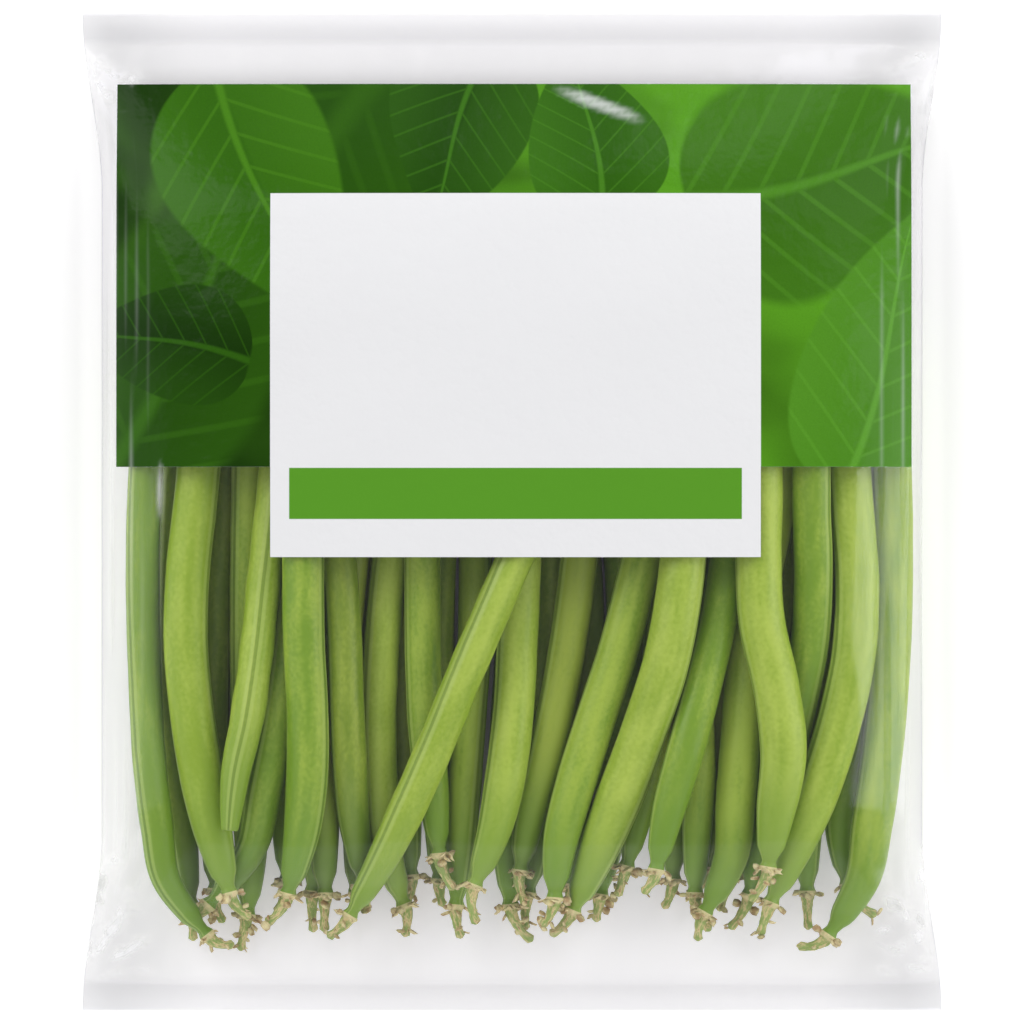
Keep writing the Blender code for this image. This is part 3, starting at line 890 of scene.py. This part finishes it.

# %% [markdown]
# Film is never quite smooth. Where the tube is gathered into the corners of a seal, creases
# run out of the corner like a fan. Short puckers stand along each seal, long faint ripples
# run up the side margins, and the front has shallow dents. Each is a height that is added
# along the film's normal. The sharp ones are also kept as an attribute that paints the film
# white: partly the whitening of creased film, partly painted glints on patches near the side
# edges, on streaks in the margins and on two lines on the front.

# %% Creases and ripples
def waves(across, along, wave_across, wave_along, seed, count=5):
    """A gentle irregular swell of about -1 to 1 with the given wavelengths in mm."""
    dice = random.Random(seed)
    total = 0
    for _ in range(count):
        a = dice.uniform(0.6, 1.5) / wave_across
        b = dice.choice((-1, 1)) * dice.uniform(0.6, 1.5) / wave_along
        total = total + np.cos(2 * math.pi * (a * across + b * along + dice.random()))
    return total / math.sqrt(count * 1.6)


def fan(x, y, corner_x, corner_y, reach, folds, seed):
    """Creases that run out of a corner of a seal, 1 on each crest."""
    away_x, away_y = x - corner_x, y - corner_y
    distance = np.hypot(away_x, away_y)
    angle = np.arctan2(-away_y * np.sign(corner_y), -away_x * np.sign(corner_x))
    crest = 1 - np.abs(np.sin(angle * folds + waves(distance, angle * 20, 30, 40, seed)))
    fade = smooth(1 - distance / reach) * smooth(distance / 7)
    return crest**2.2 * fade * (0.6 + 0.4 * waves(distance, angle * 30, 14, 20, seed + 1))


def stroke(x, y, start, end, half_wide):
    """A single straight crease between two points, 1 along its middle."""
    run = np.subtract(end, start)
    share = ((x - start[0]) * run[0] + (y - start[1]) * run[1]) / (run @ run)
    aside = np.hypot(x - start[0] - share * run[0], y - start[1] - share * run[1])
    return np.exp(-((aside / half_wide) ** 2)) * np.clip(4 * share * (1 - share), 0, 1)


VENT_X = 42.0  # places and size of the vents in the back
VENT_Y = 58.0
VENT_RADIUS = 3.0
VENT_RIM = 1.1  # width of the whitened film round a vent
CORNERS = [  # x and y of a fan's corner, its reach in mm, its folds and its seed
    (-86, -92, 34, 7, 1),
    (86, -92, 44, 6, 2),
    (-86, 93, 18, 6, 3),
    (86, 93, 24, 7, 4),
]
GLINT_STROKES = [  # start, end and half width of a crease in the front, also painted white as a glint
    ((7, 85.5), (28, 77.5), 1.3),
    ((-70.4, 11), (-70.4, -2.5), 0.7),
]


def relief(u, x, y, side):
    """Height to add along the normal, and how white the film is painted at its creases and painted
    glints. side is 1 at the back.
    """
    clear = from_seal(y)
    inside = smooth(clear / 3)
    margin = smooth((np.abs(u) - 0.84) / 0.1) * smooth(clear / 22)
    ripple = waves(x, y, 4.2, 120, 11 + side) * margin
    near_seal = np.exp(-np.maximum(clear, 0) / 8) * inside
    pucker = np.clip(waves(x, y, 7.5, 90, 21 + side), 0, 1) ** 1.5 * near_seal
    dents = waves(x, y, 42, 36, 31 + side, 7) * smooth(clear / 20) * (1 - margin)
    fans = sum(fan(x, y, *corner[:4], corner[4] + 10 * side) for corner in CORNERS) * inside
    height = 0.1 * ripple + 0.3 * pucker + 0.16 * dents * (side == 0) + 0.35 * fans
    # patches near the side edges and streaks in the margins add painted glints to the white; the
    # fans' white is partly creased film, partly painted glint
    patches = np.clip(0.4 + 0.8 * waves(x, y, 8, 7, 61 + side), 0, 1)
    patches = patches * smooth((np.abs(x) - 68) / 10)
    streaks = np.clip(waves(x, y, 3.0, 150, 51 + side, 7), 0, 1) * margin
    crease = 0.12 * pucker + 1.3 * np.clip(fans, 0, 1) ** 0.7 * patches + 0.3 * streaks
    if side == 0:
        # the straight creases on the front are raised a little and painted white as glints
        glint_strokes = sum(stroke(x, y, *line) for line in GLINT_STROKES)
        height = height + 0.3 * glint_strokes
        crease = crease + 0.5 * glint_strokes
    else:
        off_vent = np.hypot(np.abs(x) - VENT_X, np.abs(y) - VENT_Y) - VENT_RADIUS
        crease = crease + 0.5 * np.exp(-((off_vent / VENT_RIM) ** 2))
    return height, np.clip(crease, 0, 1)


def film_haze(u, x, y):
    """What the film reflects beyond clear film, as a share: margins, seals and their inner line."""
    clear = from_seal(y)
    margin = smooth((np.abs(u) - 0.82) / 0.12)
    line = np.exp(-(((clear - 0.2) / 0.5) ** 2))
    return 0.015 * margin + 0.07 * (clear < 0) + 0.05 * line


print("creases fan out of", len(CORNERS), "corners, with", len(GLINT_STROKES), "glint_lines on the front")

# %% [markdown]
# The skin is lofted on a grid: rows along the bag, closest near the seals, and columns that go
# over the front and return along the back. One flat face closes each end.

# %% Loft the film
FRONT_COLUMNS = 132
BACK_COLUMNS = 104
ROWS = 150
CROWDING = 0.45  # share of the rows' spacing that crowds towards the seals
FOLD_FADE = 0.03  # share of the half width over which the relief fades at the side folds


def even_columns(height, count):
    """Places u from -1 to 1 that are evenly spaced along the film at the waist."""
    u = np.linspace(-1, 1, 4001)
    level = height(u, np.zeros_like(u))
    length = np.append(0, np.cumsum(np.hypot(np.diff(u) * half_width(0.0), np.diff(level))))
    return np.interp(np.linspace(0, length[-1], count + 1), length, u)


def film_grid():
    """The grid's u and y in mm, and its side: 0 on the front and 1 on the back."""
    turn = np.linspace(0, math.pi, ROWS + 1)
    even = 1 - 2 * turn / math.pi
    rows = -BAG_LENGTH / 2 * (CROWDING * np.cos(turn) + (1 - CROWDING) * even)
    inner = BAG_LENGTH / 2 - SEAL_DEPTH
    for edge in (-inner, inner):
        rows[np.abs(rows - edge).argmin()] = edge
    over = even_columns(front_height, FRONT_COLUMNS)
    under = even_columns(back_height, BACK_COLUMNS)[::-1][1:-1]
    u, y = np.meshgrid(np.concatenate([over, under]), rows)
    side = np.broadcast_to(np.concatenate([0 * over, 0 * under + 1]), u.shape)
    return u, y, side


def outward_normals(points):
    """Unit normals of the grid, which point out of the bag."""
    along = np.gradient(points, axis=0)
    around = (np.roll(points, -1, 1) - np.roll(points, 1, 1)) / 2
    normal = np.cross(around, along)
    normal /= np.linalg.norm(normal, axis=2, keepdims=True) + 1e-12
    return normal * np.sign(normal[ROWS // 2, FRONT_COLUMNS // 2, 2])


def film_faces(size):
    """Faces of the grid, size points round, and the flat face that closes each end."""
    k = np.arange(size)
    after = (k + 1) % size
    low = (np.arange(ROWS) * size)[:, None]
    quads = np.stack([low + k, low + after, low + size + after, low + size + k], 2)
    faces = quads.reshape(-1, 4).tolist()
    rim = list(range(size))
    return [*faces, rim, [ROWS * size + c for c in rim[::-1]]]


def film_mesh():
    """The bag as one closed skin, with its creases and the attributes of its finish."""
    u, y, side = film_grid()
    x = u * half_width(y)
    z = np.where(side == 0, front_height(u, y), back_height(u, y))
    points = np.stack([x, y, z], 2)
    (height, crease), (back_relief, back_crease) = [relief(u, x, y, number) for number in (0, 1)]
    height = np.where(side == 0, height, back_relief) * smooth((1 - np.abs(u)) / FOLD_FADE)
    crease = np.where(side == 0, crease, back_crease)
    points = points + outward_normals(points) * height[:, :, None]
    points[:, :, 2] = np.maximum(points[:, :, 2], 0.0)
    mesh = new_mesh("film_bag", points.reshape(-1, 3), film_faces(u.shape[1]))
    set_marks(mesh, {"front": 1.0 - side, "haze": film_haze(u, x, y), "crease": crease})
    mesh.shade_smooth()
    return mesh


film = placed("film", film_mesh())
print(len(film.data.polygons), "faces in a skin of the film")

# %% [markdown]
# Film has a thickness, so it gets a second skin a tenth of a millimetre inside the first. Real
# film is thinner still, and such a wall keeps both skins apart at any distance. Vent holes are
# then punched through the back, where the solid has them, so that the beans can breathe.

# %% Wall and vents
WALL = 0.1
PEG_SIDES = 32
PEG_ENDS = (-1.0, 0.75)  # heights between which a peg passes through the back only


def vent_pegs():
    """Four upright pegs where the vents go, as one object."""
    turns = np.arange(PEG_SIDES) * 2 * math.pi / PEG_SIDES
    ring = np.stack([np.cos(turns), np.sin(turns)], 1) * VENT_RADIUS
    points, faces = [], []
    for x in (-VENT_X, VENT_X):
        for y in (-VENT_Y, VENT_Y):
            foot = [len(points) + k for k in range(PEG_SIDES)]
            head = [PEG_SIDES + k for k in foot]
            points += [(x + dx, y + dy, z) for z in PEG_ENDS for dx, dy in ring]
            faces += [foot[::-1], head]
            sides = zip(foot, foot[1:] + foot[:1], head[1:] + head[:1], head)
            faces += [list(side) for side in sides]
    return placed("vent_pegs", new_mesh("vent_pegs", points, faces))


for _ in ("clear", "printed", "inside"):
    film.data.materials.append(None)
wall = film.modifiers.new("wall", "SOLIDIFY")
wall.thickness = WALL * MM
wall.offset = -1
wall.material_offset = 2
vents = film.modifiers.new("vents", "BOOLEAN")
vents.operation = "DIFFERENCE"
vents.solver = "EXACT"
pegs = vents.object = vent_pegs()
bake(film)
bpy.data.objects.remove(pegs)
print(len(film.data.polygons), "faces on the film with its wall")

# %% [markdown]
# Clear film is a weak mirror: it lets most light through and reflects a little, more where it
# is seen edge on. A metal that is almost fully transparent does this with one shader, because
# its alpha scales the mirror. Creased film scatters light instead, so it is white and no metal;
# this white is partly creased film and partly painted glints. The outer skin does all of it and
# the inner one is left invisible, so that light isn't dimmed twice.

# %% Clear film
MIRROR = 0.045  # share of the light that the film takes when seen straight on
EDGE_ON = 0.8  # and what it takes beyond that when seen edge on
SHEEN = (0.59, 0.58, 0.66, 1)  # how much of it the film sends back as a mirror
CREASE_AND_GLINT_WHITE = (0.95, 0.95, 0.97, 1)  # and where it is creased: partly creased film, partly painted glint
CREASED = 0.55  # share of the light that a sharp crease takes
MOST = 0.95


def clear_film(tree):
    """Alpha of clear film, and 1 where it is crumpled and white, partly as a painted glint."""
    facing = add_node(tree, "ShaderNodeLayerWeight", named={"Blend": 0.5}, out=1)
    crease = mark_on(tree, "crease")
    alpha = facing**5.0 * EDGE_ON + MIRROR + mark_on(tree, "haze")
    alpha = alpha + crease.ramp(0.05, 0.8) * CREASED
    return alpha.math("MINIMUM", MOST), crease.ramp(0.0, 0.1)


def film_finish():
    material, tree, shader = new_material("clear_film")
    alpha, white = clear_film(tree)
    plug_in(tree, shader, {"Base Color": white.mix(SHEEN, CREASE_AND_GLINT_WHITE), "Metallic": 1.0 - white})
    plug_in(tree, shader, {"Alpha": alpha, "Roughness": 0.1})
    return material


clear = film_finish()
inside, tree, shader = new_material("film_inside")
plug_in(tree, shader, {"Alpha": 0.0})
print(len(clear.node_tree.nodes), "nodes in clear film")

# %% [markdown]
# The printed front has three parts: a wide green band with leaves on it, tone on tone, a white
# label panel that overlaps its lower edge, and a green bar. Label and bar are bare. A leaf is
# drawn by arithmetic: the distance across the blade against its half width at that place, a
# pale midrib, and side veins at a slant. Soft edges put a leaf out of focus.

# %% Print
BAND = (-79.2, 80.0, 9.0, 85.8)  # left, right, low and high edge
LABEL = (-48.2, 49.6, -9.0, 63.6)
BAR = (-44.4, 45.8, -1.4, 8.8)
SHADE_INK = ink(20, 52, 0)
SUN_INK = ink(84, 148, 28)
GRAIN_INK = ink(20, 52, 4)
LABEL_INK = ink(227, 227, 229)
BAR_INK = ink(86, 147, 38)
LEAVES = [  # foot, direction in degrees, length, width, softness, blade and vein inks
    ((-20, 96), 236, 62, 44, 5.0, ink(32, 74, 2), ink(44, 90, 8)),
    ((84, 92), 214, 70, 52, 6.0, ink(80, 144, 26), ink(90, 156, 34)),
    ((-82, 6), 62, 76, 40, 2.2, ink(32, 72, 2), ink(50, 98, 12)),
    ((-60, 90), 292, 58, 36, 0.6, ink(46, 96, 6), ink(68, 124, 20)),
    ((34, 62), 12, 60, 46, 1.6, ink(54, 104, 14), ink(74, 132, 30)),
    ((-4, 94), 250, 40, 30, 0.3, ink(30, 70, 4), ink(56, 108, 20)),
    ((18, 58), 98, 36, 28, 0.25, ink(42, 90, 8), ink(66, 122, 26)),
    ((66, 4), 74, 58, 34, 0.5, ink(70, 128, 24), ink(88, 150, 40)),
    ((-52, 30), 168, 36, 24, 0.3, ink(18, 50, 0), ink(42, 88, 8)),
]


def panel(x, y, edges, soft=0.07):
    """1 on a rectangle of print, 0 off it."""
    left, right, low, high = edges
    wide = x.ramp(left - soft, left + soft) * x.ramp(right - soft, right + soft, 1.0, 0.0)
    return wide * y.ramp(low - soft, low + soft) * y.ramp(high - soft, high + soft, 1.0, 0.0)


def leaf_over(colour, x, y, foot, direction, length, width, soft, blade, vein):
    """The colour with one leaf laid over it."""
    c, s = math.cos(math.radians(direction)), math.sin(math.radians(direction))
    t = ((x - foot[0]) * c + (y - foot[1]) * s) / length
    aside = (y - foot[1]) * c - (x - foot[0]) * s
    off = abs(aside + (t * 5.0).math("SINE") * width * 0.04)
    half_wide = t.math("MAXIMUM", 0.0) ** 0.5 * (1.0 - t) * (width * 1.3)
    mask = (half_wide - off).ramp(-soft, soft) * t.ramp(0.0, 0.02)
    midrib = (off / (1.15 - t)).ramp(0.25, 0.7 + soft, 1.0, 0.0)
    side_veins = ((t - off * (0.8 / length)) * 50.0).math("COSINE").ramp(0.93 - 0.1 * soft, 1.0)
    lines = midrib.math("MAXIMUM", side_veins * 0.55)
    shade = (off / (width * 0.5)).ramp(0.0, 1.0, 0.0, 0.3) + aside.ramp(-0.5, 0.5, 0.0, 0.16)
    return mask.mix(colour, lines.mix(shade.mix(blade, vein), vein))


def print_colour(tree, x, y):
    """The inks of the print, and 1 where there is ink."""
    cloud = joined(x, y, 0.0).noise(0.035, 2.0, 0.5, 0.6)
    light = x.ramp(-70, 70) * 0.7 + y.ramp(10, 86) * 0.3 + (cloud - 0.5) * 1.5
    colour = light.ramp(0.1, 0.95).mix(SHADE_INK, SUN_INK)
    for leaf in LEAVES:
        colour = leaf_over(colour, x, y, *leaf)
    grain = joined(x, y, 0.0).noise(2.6, 3.0)
    colour = (grain.ramp(0.3, 0.8) * 0.1).mix(colour, GRAIN_INK)
    label = panel(x, y, LABEL)
    colour = label.mix(colour, LABEL_INK)
    colour = panel(x, y, BAR).mix(colour, BAR_INK)
    return colour, label.math("MAXIMUM", panel(x, y, BAND))


print("leaves on the band:", len(LEAVES))

# %% Printed film
def print_finish():
    """Opaque ink on the front of the film with painted glints along its creases, and clear film
    beside it.
    """
    material, tree, shader = new_material("printed_film")
    x, y, _ = place_in(tree).vector("SCALE", 1 / MM).parts()
    alpha, white = clear_film(tree)
    colour, inked = print_colour(tree, x, y)
    inked = inked * mark_on(tree, "front").ramp(0.45, 0.55)
    # painted glint: along the creases the ink is painted half white
    painted_glint = mark_on(tree, "crease").ramp(0.05, 0.5) * 0.5
    colour = inked.mix(white.mix(SHEEN, CREASE_AND_GLINT_WHITE), painted_glint.mix(colour, CREASE_AND_GLINT_WHITE))
    bump = bumped(joined(x, y, 0.0).noise(0.3, 2.0), 0.4, 0.0005)
    metal = 1.0 - inked.math("MAXIMUM", white)
    plug_in(tree, shader, {"Base Color": colour, "Metallic": metal, "Roughness": 0.1 + inked * 0.12})
    plug_in(tree, shader, {"Alpha": alpha.math("MAXIMUM", inked), "Normal": bump})
    plug_in(tree, shader, {"Specular IOR Level": 0.1})
    return material


front_print = print_finish()
print(len(front_print.node_tree.nodes), "nodes in printed film")

# %% [markdown]
# The wall has three material places: clear film, printed film and the inner skin. Only the
# outer faces that the print touches get the printed material, so that clear film stays cheap.

# %% Give the film its materials
REACH = 2.0  # mm by which printed faces pass the print's edges

for place, finish in enumerate((clear, front_print, inside)):
    film.data.materials[place] = finish
centres = np.zeros(len(film.data.polygons) * 3)
film.data.polygons.foreach_get("center", centres)
cx, cy, cz = centres.reshape(-1, 3).T / MM
printed = np.zeros(len(cx), dtype=bool)
for left, right, low, high in (BAND, LABEL):
    printed |= (cx > left - REACH) & (cx < right + REACH) & (cy > low - REACH) & (cy < high + REACH)
printed &= cz > fold_height(cy)
index = np.zeros(len(cx), dtype=int)
film.data.polygons.foreach_get("material_index", index)
index[printed & (index == 0)] = 1
film.data.polygons.foreach_set("material_index", index)
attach(film, "root")
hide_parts("film_bag")
print("faces of clear, printed and inside film:", np.bincount(index).tolist())

# %% [markdown]
# The last step writes the dressed part's box, to be set beside the solids' box from the start.

# %% Sizes
low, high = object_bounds()
print("dressed box in mm", [round(c / MM, 1) for c in (*low, *high)])
